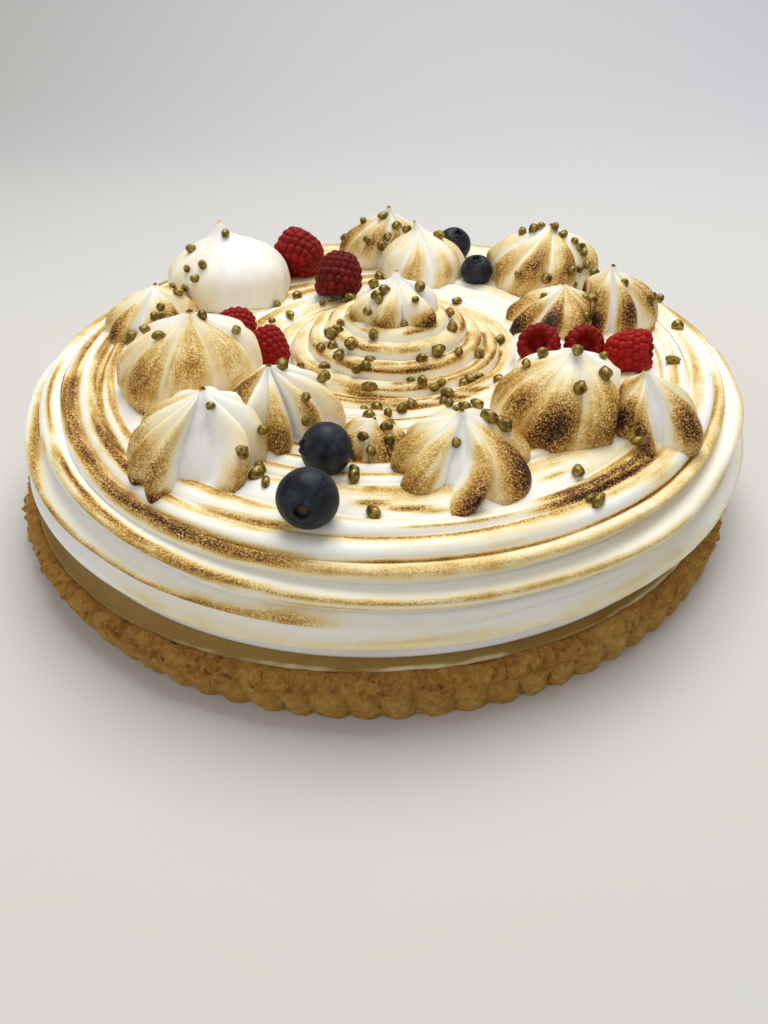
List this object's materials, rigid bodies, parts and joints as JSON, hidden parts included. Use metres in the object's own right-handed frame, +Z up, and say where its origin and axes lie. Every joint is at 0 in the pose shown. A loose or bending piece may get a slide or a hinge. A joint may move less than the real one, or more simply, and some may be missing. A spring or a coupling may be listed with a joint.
{
  "type": "lemon meringue pie",
  "caption": "Whole round lemon meringue pie: fluted crust, lemon curd, torched spiral meringue with piped kisses, berries and crunchy gold nuggets.",
  "frame": {"origin": "middle of the crust's flat underside", "axes": "+Z up through the pie, -Y to the front, the side with the two large blueberries, +X to the right of the front"},
  "size_m": [0.2507, 0.2502, 0.0783],
  "materials": {
    "crust": "baked shortcrust, dry and crumbly",
    "curd": "set lemon curd, smooth and glossy",
    "meringue": "soft meringue, white with torched gold to dark brown ridges",
    "raspberry": "fresh raspberry, soft sheen",
    "blueberry": "fresh blueberry with a pale bloom",
    "nugget": "crunchy pearls coated in satin gold"
  },
  "bodies": {
    "root": {"crust": "crust", "lemon_curd": "curd", "meringue_base": "meringue", "kiss_back_left_large": "meringue", "kiss_left_back_flat": "meringue", "kiss_left_golden": "meringue", "kiss_front_left": "meringue", "kiss_centre_left": "meringue", "kiss_behind_berries": "meringue", "kiss_on_cone": "meringue", "kiss_back_centre": "meringue", "kiss_back_white": "meringue", "kiss_back_right_large": "meringue", "kiss_right_back": "meringue", "kiss_right": "meringue", "kiss_right_front_large": "meringue", "kiss_right_pleated": "meringue", "kiss_front_centre": "meringue", "raspberry_back_large": "raspberry", "raspberry_back_dark": "raspberry", "raspberry_left_back": "raspberry", "raspberry_left_front": "raspberry", "raspberry_right_hollow": "raspberry", "raspberry_right_middle": "raspberry", "raspberry_right_bright": "raspberry", "blueberry_front_left": "blueberry", "blueberry_front": "blueberry", "blueberry_back": "blueberry", "blueberry_back_small": "blueberry"}
  },
  "joints": []
}
